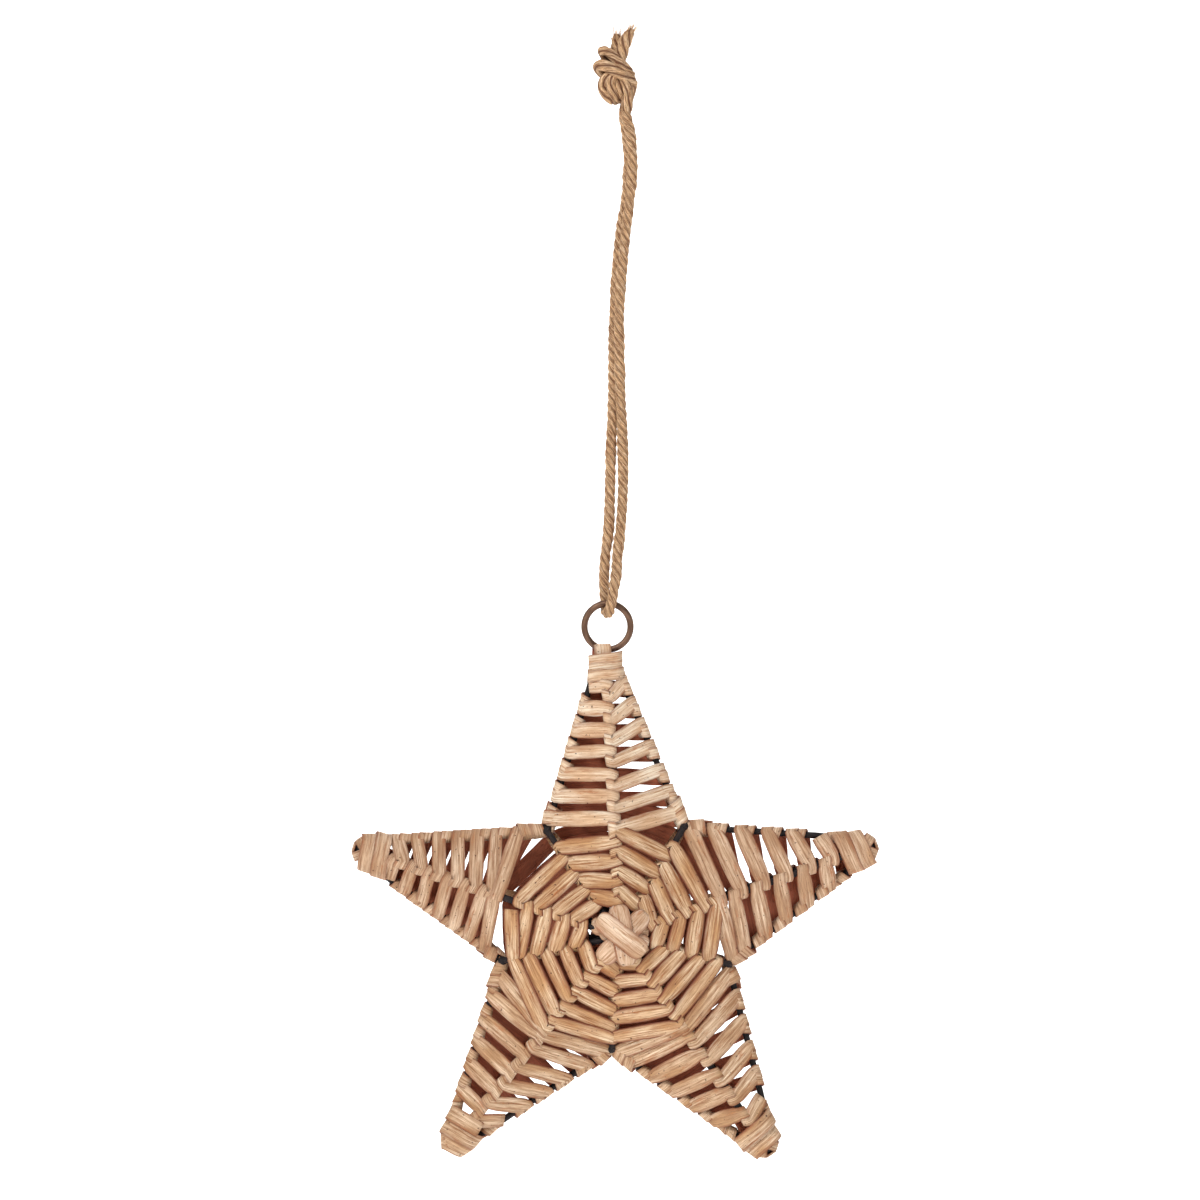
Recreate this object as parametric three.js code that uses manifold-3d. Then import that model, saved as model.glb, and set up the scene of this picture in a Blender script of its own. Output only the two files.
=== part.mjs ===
// Wicker star ornament on a cord, in millimetres, +Z up, seen from the front along +Y.
//
// A five-pointed star of black wire is bent round its outline and stiffened by ribs that
// rise from the tips and the inner corners to a low point in front and another behind.
// Split willow strips are woven over it: a spiral round the ten ribs of each side, and one
// winding round the four wires of every arm. The flat bands run from wire to wire, lap over
// the ribs and turn close round the outline wire, which therefore wears a sleeve of strip.
// The top tip is lashed to a ring, and a doubled cord hangs the ring from a knot.
// The origin is the hang point, inside the top of the cord loop, just under the knot.

import * as THREE from 'three';
import { mergeVertices } from 'three/addons/utils/BufferGeometryUtils.js';
import { ConvexGeometry } from 'three/addons/geometries/ConvexGeometry.js';
import Module from 'manifold-3d';

const wasm = await Module();
wasm.setup();

// How far the star reaches from its centre, and the stock that it is made from.
const STAR_REACH = 106;
const WIRE_DIAMETER = 2.4;
const STRIP_WIDTH = 5;
const STRIP_THICKNESS = 0.8;
const CORD_DIAMETER = 3.8;
const FIT_GAP = 0.3;
const FLATNESS = 0.002;

// The star: where its centre hangs, how far the two points of its ribs stand out, and how
// far each point lies to the right of and below the centre.
const STAR_SHIFT = -6.7;
const APEX_HEIGHT = 18;
const APEX_SHIFT = 3.6;
const APEX_DROP = 2.8;
const TIP_BEND_RADIUS = 4;
const WELD_RADIUS = 4;

// The five arms, clockwise from the top one. Reach and lean set the tip, notch and notchLean
// the inner corner on the anticlockwise side, both as shares of the star's reach. The rest
// counts in strip widths, along the arm from its tip. A strip comes to the front rib from
// the anticlockwise side, moves on by the ridge step while it turns round the rib, and leaves
// over the clockwise side. The slants say how much nearer the centre a band ends.
const ARMS = [
  { name: 'top', reach: 1.0283, lean: 1, notch: 0.4113, notchLean: -2.4,
    firstWrap: 3.5, pitch: 1.68, comingSlant: -0.08, ridgeStep: 0.92, leavingSlant: -1.22 },
  { name: 'right', reach: 1.0038, lean: -0.9, notch: 0.4434, notchLean: -0.5,
    firstWrap: 3.64, pitch: 1.86, comingSlant: -0.54, ridgeStep: 0.72, leavingSlant: 0.3 },
  { name: 'lower_right', reach: 1.0057, lean: -0.8, notch: 0.4425, notchLean: 0.4,
    firstWrap: 3.42, pitch: 1.82, comingSlant: -0.84, ridgeStep: 0.76, leavingSlant: 0.54 },
  { name: 'lower_left', reach: 0.9962, lean: 0.2, notch: 0.4387, notchLean: 0.7,
    firstWrap: 3.34, pitch: 1.74, comingSlant: -1.36, ridgeStep: 1.06, leavingSlant: 0.22 },
  { name: 'left', reach: 0.9689, lean: 0.9, notch: 0.4047, notchLean: -0.2,
    firstWrap: 3.42, pitch: 1.42, comingSlant: -0.08, ridgeStep: 0.74, leavingSlant: -0.98 },
];
const EDGE_STEP = 0.8 * STRIP_WIDTH;
const BACK_RIDGE_STEP = 0.84 * STRIP_WIDTH;
const BINDING_LENGTH = 2.8 * STRIP_WIDTH;
const BINDING_SIDES = 12;

// The spiral of each side, woven of a wider strip: its radius where it crosses the top rib,
// the rise in one turn, the step outward at every rib, how far its rings sit to the left of
// the apex, and where it starts and stops, counted in tenths of a turn from the top rib.
const SPIRAL_STRIP = 1.18 * STRIP_WIDTH;
const SPIRAL_RADIUS = 0.1453 * STAR_REACH;
const SPIRAL_PITCH = 0.0679 * STAR_REACH;
const SPIRAL_STEP = 0.84 * STRIP_WIDTH;
const SPIRAL_DRIFT = 0.0245 * STAR_REACH;
const SPIRAL_FIRST = -4;
const SPIRAL_LAST = 37;
const ROSETTE_RADIUS = 0.08 * STAR_REACH;

// The ring and the drop from the hang point to its centre.
const RING_OUTER_DIAMETER = 20;
const RING_WIRE = 2.5;
const RING_DROP = 195.5;
const RING_SHIFT = -7.8;
const LASHING_REACH = 2.7;

// Sides of the round sections.
const WIRE_SIDES = 6;
const SLEEVE_SIDES = 6;
const RING_SIDES = 8;
const RING_STEPS = 20;
const CORD_SIDES = 8;
const JOINT_SIDES = 6;
const TIP_BEND_STEPS = 5;

// Values that follow from the ones above.
const WIRE_RADIUS = WIRE_DIAMETER / 2;
const SLEEVE_BORE = WIRE_RADIUS + FIT_GAP;
const SLEEVE_RADIUS = SLEEVE_BORE + STRIP_THICKNESS;
const SLOT_MARGIN = SLEEVE_RADIUS + FIT_GAP;
const RIB_OFFSET = 0.9 * WIRE_DIAMETER;
const NOTCH_OVERRUN = WIRE_RADIUS;
const RIDGE_LAP = SLEEVE_RADIUS / 2;
const RING_RADIUS = (RING_OUTER_DIAMETER - RING_WIRE) / 2;
const RING_SEAT = LASHING_REACH + RING_WIRE + FIT_GAP + WIRE_RADIUS;
const LASHING_DROP = RING_DROP + RING_RADIUS - RING_WIRE / 2 - LASHING_REACH;
const STAR_DROP = LASHING_DROP + ARMS[0].reach * STAR_REACH;
const RING_CENTRE = new THREE.Vector3(RING_SHIFT, 0, -RING_DROP);
const STAR_CENTRE = new THREE.Vector3(STAR_SHIFT, 0, -STAR_DROP);

// Joining and cutting closed meshes.

function toSolid(geometry) {
  const bare = geometry.clone();
  bare.deleteAttribute('normal');
  bare.deleteAttribute('uv');
  const merged = mergeVertices(bare, 1e-4);
  return new wasm.Manifold(new wasm.Mesh({
    numProp: 3,
    vertProperties: Float32Array.from(merged.attributes.position.array),
    triVerts: Uint32Array.from(merged.index.array),
  }));
}

// The joined or cut solid as a geometry, with the flat faces that a cut has split made whole.
function fromSolid(solid) {
  const mesh = solid.asOriginal().simplify(FLATNESS).getMesh();
  const geometry = new THREE.BufferGeometry();
  geometry.setAttribute('position', new THREE.BufferAttribute(mesh.vertProperties, 3));
  geometry.setIndex(new THREE.BufferAttribute(mesh.triVerts, 1));
  geometry.computeVertexNormals();
  return geometry;
}

function join(geometries) {
  const solids = geometries.map(toSolid);
  return solids.reduce((sum, solid) => sum.add(solid));
}

// Shapes that the pieces are built from.

function polygon(radius, sides) {
  const corners = [];
  for (let i = 0; i < sides; i += 1) {
    const angle = (2 * Math.PI * (i + 0.5)) / sides;
    corners.push(new THREE.Vector2(radius * Math.cos(angle), radius * Math.sin(angle)));
  }
  return new THREE.Shape(corners);
}

// A path of straight runs that is sampled at its own corners.
class CornerPath extends THREE.Curve {
  constructor(corners) {
    super();
    this.corners = corners;
  }

  getPoint(t, target = new THREE.Vector3()) {
    const place = t * (this.corners.length - 1);
    const before = Math.min(Math.floor(place), this.corners.length - 2);
    return target.lerpVectors(this.corners[before], this.corners[before + 1], place - before);
  }

  getUtoTmapping(u) {
    return u;
  }
}

function bentRod(corners, radius, sides) {
  return new THREE.ExtrudeGeometry(polygon(radius, sides), {
    extrudePath: new CornerPath(corners),
    steps: corners.length - 1,
    bevelEnabled: false,
  });
}

function straightRod(from, to, radius, sides) {
  const axis = to.clone().sub(from);
  const geometry = new THREE.CylinderGeometry(radius, radius, axis.length(), sides);
  const turn = new THREE.Quaternion();
  turn.setFromUnitVectors(new THREE.Vector3(0, 1, 0), axis.clone().normalize());
  geometry.applyQuaternion(turn);
  const middle = from.clone().add(to).multiplyScalar(0.5);
  geometry.translate(middle.x, middle.y, middle.z);
  return geometry;
}

// The flat bands of strip between two neighbouring wires, as one slotted plate that lies on
// their outer sides. Each row is one band: where its middle lies on the first wire and on
// the second. A wire is a line with its direction and the place at a distance along it.
function bandPlate(first, second, rows, width, start, ends) {
  const last = rows[rows.length - 1];
  const middle = rows[Math.floor(rows.length / 2)];
  const run = first.direction.clone().add(second.direction);
  const outward = run.cross(second.at(middle[1]).sub(first.at(middle[0]))).normalize();
  if (outward.y * first.side < 0) {
    const turned = rows.map(([from, to]) => [to, from]);
    return bandPlate(second, first, turned, width, start, [ends[1], ends[0]]);
  }
  const half = width / 2;
  const shareOf = (length, distance) => length / first.at(distance).distanceTo(second.at(distance));
  const stops = [Math.min(last[0] + half, ends[0]), Math.min(last[1] + half, ends[1])];
  const outline = new THREE.Shape([
    new THREE.Vector2(start, -shareOf(first.lap, start)),
    new THREE.Vector2(stops[0], -shareOf(first.lap, stops[0])),
    new THREE.Vector2(stops[1], 1 + shareOf(second.lap, stops[1])),
    new THREE.Vector2(start, 1 + shareOf(second.lap, start)),
  ]);
  for (let i = 0; i + 1 < rows.length; i += 1) {
    const margin = shareOf(SLOT_MARGIN, rows[i][0]);
    const border = (row, offset, share) => new THREE.Vector2(
      THREE.MathUtils.lerp(row[0], row[1], share) + offset, share);
    if (margin < 0.4) {
      outline.holes.push(new THREE.Path([
        border(rows[i], half, margin),
        border(rows[i + 1], -half, margin),
        border(rows[i + 1], -half, 1 - margin),
        border(rows[i], half, 1 - margin),
      ]));
    }
  }
  const plate = new THREE.ExtrudeGeometry(outline, { depth: STRIP_THICKNESS, bevelEnabled: false });
  const level = first.at(middle[0]).add(second.at(middle[1])).dot(outward) / 2;
  const place = new THREE.Vector3();
  const corners = plate.attributes.position;
  for (let i = 0; i < corners.count; i += 1) {
    const [distance, share, height] = place.fromBufferAttribute(corners, i).toArray();
    place.lerpVectors(first.at(distance), second.at(distance), share);
    place.addScaledVector(outward, level - place.dot(outward) + SLEEVE_BORE + height);
    corners.setXYZ(i, place.x, place.y, place.z);
  }
  return plate;
}

function ellipsoid(centre, width, depth, height) {
  const geometry = new THREE.SphereGeometry(0.5, JOINT_SIDES, JOINT_SIDES - 2);
  geometry.scale(width, depth, height);
  geometry.translate(centre.x, centre.y, centre.z);
  return geometry;
}

// Places on the star.

function inPlane(origin, degrees, distance, depth = 0) {
  const angle = THREE.MathUtils.degToRad(degrees);
  const offset = new THREE.Vector3(Math.cos(angle), 0, Math.sin(angle)).multiplyScalar(distance);
  return origin.clone().add(offset).setY(depth);
}

const ARM_STEP = 360 / ARMS.length;
const APEX_BACK = STAR_CENTRE.clone().add(new THREE.Vector3(APEX_SHIFT, APEX_HEIGHT, -APEX_DROP));
const APEX_FRONT = APEX_BACK.clone().setY(-APEX_HEIGHT);

function armAngle(index) {
  return 90 - index * ARM_STEP + ARMS[index].lean;
}

function notchPoint(index) {
  const arm = ARMS[index];
  const angle = 90 + ARM_STEP / 2 - index * ARM_STEP + arm.notchLean;
  return inPlane(STAR_CENTRE, angle, arm.notch * STAR_REACH);
}

// The wire's own tip lies under the strip that covers it, and at the top under the ring.
function tipCover(index) {
  return index === 0 ? RING_SEAT : SLEEVE_RADIUS;
}

function wireTip(index) {
  return inPlane(STAR_CENTRE, armAngle(index), ARMS[index].reach * STAR_REACH - tipCover(index));
}

// Where the ribs end, clockwise from the top tip: each one lies on the outline wire at a
// tip or an inner corner, with its side's ribs in front of that wire or behind it.
const RIB_COUNT = 2 * ARMS.length;

function ribEnd(ribIndex, side) {
  const index = Math.floor(ribIndex / 2);
  const corner = ribIndex % 2 === 0 ? wireTip(index) : notchPoint((index + 1) % ARMS.length);
  return corner.setY(side * RIB_OFFSET);
}

// A straight wire: the place at a distance that counts along a line from an origin, the side
// of the star it is on, and how far the flat bands lap over it to meet across a ridge.
function wireLine(start, end, origin, line, side, lap) {
  const first = start.clone().sub(origin).dot(line);
  const last = end.clone().sub(origin).dot(line);
  const at = (distance) => start.clone().lerp(end, (distance - first) / (last - first));
  return { at, last, side, lap, direction: end.clone().sub(start).normalize() };
}

// A rib, with distances as radii from its apex in the star's plane.
function rib(apex, ribIndex) {
  const side = Math.sign(apex.y);
  const end = ribEnd(ribIndex, side);
  const line = end.clone().sub(apex).setY(0).normalize();
  return wireLine(apex, end, apex, line, side, ribIndex % 2 === 0 ? RIDGE_LAP : 0);
}

// The spiral round the ribs.

function spiralRadius(tenths) {
  const angle = THREE.MathUtils.degToRad(90 - tenths * 36);
  return SPIRAL_RADIUS + (SPIRAL_PITCH * tenths) / 10 - SPIRAL_DRIFT * Math.cos(angle);
}

// The bands that run clockwise from a rib, from the rosette out.
function spiralBands(ribIndex) {
  const rows = [];
  for (let tenths = SPIRAL_FIRST; tenths <= SPIRAL_LAST; tenths += 1) {
    if ((tenths + RIB_COUNT) % RIB_COUNT === ribIndex) {
      rows.push([spiralRadius(tenths) + SPIRAL_STEP / 2, spiralRadius(tenths + 1) - SPIRAL_STEP / 2]);
    }
  }
  return rows;
}

// The outer border of the last strip that crosses a rib, which keeps clear of the outline.
function spiralEnd(ribIndex) {
  const before = spiralBands((ribIndex + RIB_COUNT - 1) % RIB_COUNT).pop();
  const after = spiralBands(ribIndex).pop();
  const border = Math.max(before[1], after[0]) + SPIRAL_STRIP / 2;
  return Math.min(border, rib(APEX_FRONT, ribIndex).last - 2 * SLEEVE_RADIUS);
}

// The ring, upright in the star's plane.

function ringBody(wireDiameter) {
  const geometry = new THREE.TorusGeometry(RING_RADIUS, wireDiameter / 2, RING_SIDES, RING_STEPS);
  geometry.rotateX(Math.PI / 2);
  geometry.translate(RING_CENTRE.x, RING_CENTRE.y, RING_CENTRE.z);
  return geometry;
}

// The wire frame: an outline wire with a round bend at each tip, and ten ribs a side.

function outlineCorners(index) {
  const direction = inPlane(new THREE.Vector3(), armAngle(index), 1);
  const bendCentre = wireTip(index).addScaledVector(direction, -TIP_BEND_RADIUS);
  const corners = [notchPoint(index)];
  for (let i = 0; i <= TIP_BEND_STEPS; i += 1) {
    const angle = armAngle(index) + 90 - (180 * i) / TIP_BEND_STEPS;
    corners.push(inPlane(bendCentre, angle, TIP_BEND_RADIUS));
  }
  corners.push(notchPoint((index + 1) % ARMS.length));
  for (const [end, neighbour] of [[0, 1], [corners.length - 1, corners.length - 2]]) {
    const wire = corners[end].clone().sub(corners[neighbour]).normalize();
    corners[end].addScaledVector(wire, NOTCH_OVERRUN);
  }
  return corners;
}

function frameRods(radius) {
  const rods = [];
  ARMS.forEach((arm, index) => rods.push(bentRod(outlineCorners(index), radius, WIRE_SIDES)));
  for (const apex of [APEX_FRONT, APEX_BACK]) {
    const weld = new THREE.CylinderGeometry(WELD_RADIUS, WELD_RADIUS, 2 * radius, RIB_COUNT);
    rods.push(weld.translate(apex.x, apex.y, apex.z));
    for (let ribIndex = 0; ribIndex < RIB_COUNT; ribIndex += 1) {
      const line = rib(apex, ribIndex);
      rods.push(straightRod(line.at(WELD_RADIUS - WIRE_RADIUS), line.at(line.last), radius, WIRE_SIDES));
    }
  }
  return rods;
}

// The room that the strips leave round the wires and the ring.
const clearance = join(frameRods(SLEEVE_BORE));
const ringSpace = toSolid(ringBody(RING_WIRE + 2 * FIT_GAP));

// The weave of one side's centre.

function centreWeave(apex) {
  const ribs = Array.from({ length: RIB_COUNT }, (_, ribIndex) => rib(apex, ribIndex));
  const bands = [];
  const rosette = [];
  ribs.forEach((line, ribIndex) => {
    const nextIndex = (ribIndex + 1) % RIB_COUNT;
    const ends = [spiralEnd(ribIndex), spiralEnd(nextIndex)];
    const rows = spiralBands(ribIndex).filter((row) => row[0] < ends[0] && row[1] < ends[1]);
    const start = ROSETTE_RADIUS - STRIP_THICKNESS;
    bands.push(bandPlate(line, ribs[nextIndex], rows, SPIRAL_STRIP, start, ends));
    for (const radius of [ROSETTE_RADIUS / 2, ROSETTE_RADIUS]) {
      for (const depth of [-SLEEVE_RADIUS, SLEEVE_RADIUS]) {
        const place = line.at(radius);
        rosette.push(place.setY(place.y + depth));
      }
    }
  });
  return toSolid(new ConvexGeometry(rosette)).subtract(clearance).add(join(bands));
}

// The winding of one arm. Every turn of the strip crosses the four facets between the
// arm's wires: coming edge, front rib, leaving edge, back rib.

function armWeave(index) {
  const arm = ARMS[index];
  const tip = inPlane(STAR_CENTRE, armAngle(index), arm.reach * STAR_REACH);
  const inward = inPlane(new THREE.Vector3(), armAngle(index), -1);
  const outline = outlineCorners(index);
  const [notchBefore, bendBefore] = outline;
  const [notchAfter, bendAfter] = outline.toReversed();
  const comingEdge = wireLine(bendBefore, notchBefore, tip, inward, 0, 0);
  const leavingEdge = wireLine(bendAfter, notchAfter, tip, inward, 0, 0);
  const frontRib = wireLine(ribEnd(2 * index, -1), APEX_FRONT, tip, inward, -1, RIDGE_LAP);
  const backRib = wireLine(ribEnd(2 * index, 1), APEX_BACK, tip, inward, 1, RIDGE_LAP);

  const half = STRIP_WIDTH / 2;
  const ribLimit = frontRib.last - spiralEnd(2 * index) - FIT_GAP;
  const comingLimit = comingEdge.last - SLEEVE_RADIUS - FIT_GAP;
  const leavingLimit = leavingEdge.last - SLEEVE_RADIUS - FIT_GAP;
  const pitch = arm.pitch * STRIP_WIDTH;
  const comingSlant = arm.comingSlant * STRIP_WIDTH;
  const ridgeStep = arm.ridgeStep * STRIP_WIDTH;
  const leavingSlant = arm.leavingSlant * STRIP_WIDTH;
  const frontAdvance = comingSlant + ridgeStep + leavingSlant;
  const backSlant = (pitch - frontAdvance - 2 * EDGE_STEP - BACK_RIDGE_STEP) / 2;
  const starts = [arm.firstWrap * STRIP_WIDTH];
  while (starts[starts.length - 1] + pitch + half < ribLimit) {
    starts.push(starts[starts.length - 1] + pitch);
  }

  // A facet's bands as far as both wires have room for them.
  function facet(from, fromLimit, offset, to, toLimit, slant) {
    const rows = starts.map((ridge) => [ridge + offset, ridge + offset + slant]);
    const fitting = rows.filter((row) => row[0] + half <= fromLimit && row[1] + half <= toLimit);
    const start = BINDING_LENGTH - STRIP_THICKNESS;
    return bandPlate(from, to, fitting, STRIP_WIDTH, start, [fromLimit, toLimit]);
  }
  const behind = ridgeStep + leavingSlant + EDGE_STEP;
  const returning = behind + backSlant + BACK_RIDGE_STEP;
  const bands = [
    facet(frontRib, ribLimit, 0, comingEdge, comingLimit, -comingSlant),
    facet(frontRib, ribLimit, ridgeStep, leavingEdge, leavingLimit, leavingSlant),
    facet(backRib, ribLimit, behind + backSlant, leavingEdge, leavingLimit, -backSlant),
    facet(backRib, ribLimit, returning, comingEdge, comingLimit, backSlant),
  ];
  const turns = [[comingEdge, comingLimit], [leavingEdge, leavingLimit]].map(([line, limit]) => (
    straightRod(line.at(BINDING_LENGTH - 1), line.at(limit), SLEEVE_RADIUS, SLEEVE_SIDES)));
  turns.push(tipBinding(index, tip, inward, comingEdge, leavingEdge, frontRib));
  if (index > 0) {
    return join(turns).subtract(clearance).add(join(bands));
  }
  turns.push(lashing(tip));
  return join(turns).subtract(clearance).subtract(ringSpace).add(join(bands));
}

// The close binding over a tip, as one tapering body round all four wires.
function tipBinding(index, tip, inward, comingEdge, leavingEdge, ridge) {
  const across = new THREE.Vector3(-inward.z, 0, inward.x);
  const start = tipCover(index) - SLEEVE_RADIUS;
  const endHalf = comingEdge.at(BINDING_LENGTH).distanceTo(leavingEdge.at(BINDING_LENGTH)) / 2;
  const endDepth = Math.abs(ridge.at(BINDING_LENGTH).y);
  const cover = SLEEVE_RADIUS;
  const sections = [
    { distance: start, half: TIP_BEND_RADIUS, depth: RIB_OFFSET + WIRE_RADIUS },
    { distance: start + cover, half: TIP_BEND_RADIUS + cover, depth: RIB_OFFSET + cover },
    { distance: BINDING_LENGTH, half: endHalf + cover, depth: endDepth + cover },
  ];
  const corners = polygon(1, BINDING_SIDES).getPoints();
  const hull = sections.flatMap(({ distance, half, depth }) => corners.map((corner) => {
    const place = tip.clone().addScaledVector(inward, distance);
    return place.addScaledVector(across, half * corner.x).setY(depth * corner.y);
  }));
  return new ConvexGeometry(hull);
}

// The lashing: a strip turned over the ring's lowest wire and bound in under the tip.
function lashing(tip) {
  const depth = RING_WIRE + 2 * (FIT_GAP + STRIP_THICKNESS);
  const height = RING_SEAT + WIRE_RADIUS;
  const geometry = new THREE.BoxGeometry(STRIP_WIDTH, depth, height);
  geometry.translate(tip.x, 0, -LASHING_DROP - height / 2);
  return geometry;
}

// The cord: one length from the knot down round the ring's top wire and back up.

const CORD_ROUTE = [
  [-1.4, 2.1, 0.6], [-1.4, 2.1, -2], [-0.4, 2.1, -10], [0.3, 2.1, -20], [-0.8, 2.1, -33],
  [-3.2, 2, -50], [-4.9, 1.9, -70], [-5.5, 1.8, -92], [-5.6, 1.6, -110], [-6.4, 0.8, -125],
  [-6.8, 0.4, -142], [-7.3, 0.6, -158], [-8.5, 1.4, -168], [-9, 2.4, -175], [-9, 3.3, -181],
  [-8.7, 3.5, -186.6], [-8.3, 2.4, -189.4], [-7.7, 0, -190.3], [-7.1, -2.4, -189.4],
  [-6.3, -3.5, -186.6], [-5.3, -3.3, -181], [-4.4, -2.4, -175], [-4, -1.4, -168],
  [-2.8, -0.6, -158], [-1.9, -0.4, -142], [-2.1, -0.8, -125], [-2.7, -1.6, -110],
  [-3.3, -2, -92], [-3.1, -2.1, -70], [-1.3, -2.1, -50], [0.7, -2.1, -33], [1.6, -2.1, -20],
  [1.1, -2.1, -10], [-0.6, -2.1, -2], [-0.6, -2.1, 0.6],
];

function cordBody() {
  const route = CORD_ROUTE.map(([x, y, z]) => new THREE.Vector3(x, y, z));
  return bentRod(route, CORD_DIAMETER / 2, CORD_SIDES);
}

// The knot: an overhand knot in both strands together, as the lobes of cord that show, with
// two cut ends standing up out of it and a flat underside where the strands leave.

const KNOT_LOBES = [
  { place: [-6.1, 0, 16.5], size: [14.4, 12, 8.4] },
  { place: [-8.3, 0.4, 9.2], size: [6.8, 9, 12] },
  { place: [-1, -0.4, 9.4], size: [7.2, 9.6, 9] },
  { place: [-1.4, 0, 4.6], size: [7.4, 9, 8.6] },
  { place: [-8.4, 0.6, 22.6], size: [5.6, 6, 6] },
];
const KNOT_ENDS = [
  [[-5, -1.2, 17], [-2.8, -1.4, 25], [2.2, -1, 32.4]],
  [[-5.6, 1.8, 17], [-4.6, 2.2, 25], [-4.2, 1.8, 30.4]],
];

function knotBody() {
  const lobes = KNOT_LOBES.map(({ place, size }) => ellipsoid(new THREE.Vector3(...place), ...size));
  const ends = KNOT_ENDS.map((route) => {
    const corners = route.map(([x, y, z]) => new THREE.Vector3(x, y, z));
    return bentRod(corners, CORD_DIAMETER / 2, CORD_SIDES);
  });
  const underside = new THREE.BoxGeometry(40, 40, 40);
  underside.translate(0, 0, CORD_ROUTE[0][2] + FIT_GAP - 20);
  return join([...lobes, ...ends]).subtract(toSolid(underside));
}

// The pieces.

const willow = { color: 0xcfa478, roughness: 0.75, metalness: 0 };
const goldenWillow = { color: 0xc99a62, roughness: 0.75, metalness: 0 };
const iron = { color: 0x231c1e, roughness: 0.8, metalness: 0.6 };
const bronze = { color: 0x644b3c, roughness: 0.5, metalness: 0.8 };
const twine = { color: 0xb98c5a, roughness: 0.95, metalness: 0 };

const ornament = new THREE.Group();

function addPiece(name, geometry, look) {
  const mesh = new THREE.Mesh(geometry, new THREE.MeshStandardMaterial(look));
  mesh.name = name;
  ornament.add(mesh);
}

addPiece('wire_frame', fromSolid(join(frameRods(WIRE_RADIUS))), iron);
addPiece('centre_weave_front', fromSolid(centreWeave(APEX_FRONT)), goldenWillow);
addPiece('centre_weave_back', fromSolid(centreWeave(APEX_BACK)), goldenWillow);
ARMS.forEach((arm, index) => {
  addPiece(`arm_weave_${arm.name}`, fromSolid(armWeave(index)), willow);
});
addPiece('hanging_ring', ringBody(RING_WIRE), bronze);
addPiece('hanging_cord', cordBody(), twine);
addPiece('cord_knot', fromSolid(knotBody()), twine);

export default ornament;
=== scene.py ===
# %% [markdown]
# # A wicker star on a knotted cord
# The star is a frame of black wire with split willow woven over it. The frame file holds
# the solids of every piece in metres; each piece below is built on the same lines and takes
# the place of its solid. Lengths are worked out in millimetres and become metres only
# when a mesh is made, because that is how the maker measures.

# %% Load the solids
import bpy
import numpy as np
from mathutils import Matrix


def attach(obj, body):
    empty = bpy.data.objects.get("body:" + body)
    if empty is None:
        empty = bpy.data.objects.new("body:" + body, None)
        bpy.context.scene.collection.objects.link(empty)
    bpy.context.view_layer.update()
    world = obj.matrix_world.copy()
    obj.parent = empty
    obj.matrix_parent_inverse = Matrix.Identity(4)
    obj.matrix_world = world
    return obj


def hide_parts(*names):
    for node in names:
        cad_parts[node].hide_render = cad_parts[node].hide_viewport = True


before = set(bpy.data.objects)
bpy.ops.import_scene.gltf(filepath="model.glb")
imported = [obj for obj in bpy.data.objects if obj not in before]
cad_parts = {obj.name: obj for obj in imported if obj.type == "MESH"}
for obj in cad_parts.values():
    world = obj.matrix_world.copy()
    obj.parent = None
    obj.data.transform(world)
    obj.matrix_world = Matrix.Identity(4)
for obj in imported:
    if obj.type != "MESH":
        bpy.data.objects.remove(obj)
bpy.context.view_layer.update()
print("solids:", sorted(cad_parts))

# %% [markdown]
# ## The camera
# The picture was taken level and straight from the front with a long lens. One picture
# element is 0.38 mm on the star, so 1200 of them are 456 mm. With the camera 1.9 m away the
# lens follows from similar triangles: focal length / sensor = distance / width of the view.
# The frame's origin, just under the knot, is element (628, 112), which says where to look.
# The plain view transform keeps paper white and straw yellow as they are mixed below.

# %% Camera
MM = 0.001
PIXEL = 0.38 * MM
PICTURE = 1200
HANG_PIXEL = (628, 112)
VIEW_WIDTH = PICTURE * PIXEL
CAMERA_DISTANCE = 1.9
SENSOR = 36
VIEW_CENTRE = ((PICTURE / 2 - HANG_PIXEL[0]) * PIXEL, (HANG_PIXEL[1] - PICTURE / 2) * PIXEL)


def add_object(name, data):
    """An object that holds the data, linked to the scene."""
    made = bpy.data.objects.new(name, data)
    bpy.context.scene.collection.objects.link(made)
    return made


camera_data = bpy.data.cameras.new("camera")
camera_data.sensor_width = SENSOR
camera_data.lens = SENSOR * CAMERA_DISTANCE / VIEW_WIDTH
camera = add_object("camera", camera_data)
camera.location = (VIEW_CENTRE[0], -CAMERA_DISTANCE, VIEW_CENTRE[1])
camera.rotation_euler = (np.pi / 2, 0, 0)
bpy.context.scene.camera = camera
bpy.context.scene.view_settings.view_transform = "Standard"
print("camera: lens", round(camera_data.lens, 1), "mm")

# %% [markdown]
# ## From a grid of points to a mesh
# Every piece is a surface over two parameters: one runs along a path, the other round a
# closed outline. A grid with one row for each place on the path therefore holds it all,
# and the faces follow from counting. The ends are closed with one flat face each. The
# signed volume tells whether the faces look outwards.

# %% Grids
SIDEWAYS = np.array([1.0, 0, 0])
DEPTH = np.array([0.0, 1, 0])
PATTERN = "strip"


def unit(vectors):
    """Each vector divided by its length."""
    vectors = np.asarray(vectors, float)
    return vectors / np.linalg.norm(vectors, axis=-1, keepdims=True)


def run_length(path):
    """The distance along a path from its start to each of its points."""
    steps = np.linalg.norm(np.diff(path, axis=0), axis=1)
    return np.concatenate([[0], np.cumsum(steps)])


def square_to(path, aside):
    """Two directions square to a path: aside made square to it, and the cross product of
    the path's own direction with that."""
    travel = unit(np.gradient(path, axis=0))
    first = unit(aside - travel * (travel @ aside)[:, None])
    return first, np.cross(travel, first)


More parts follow.
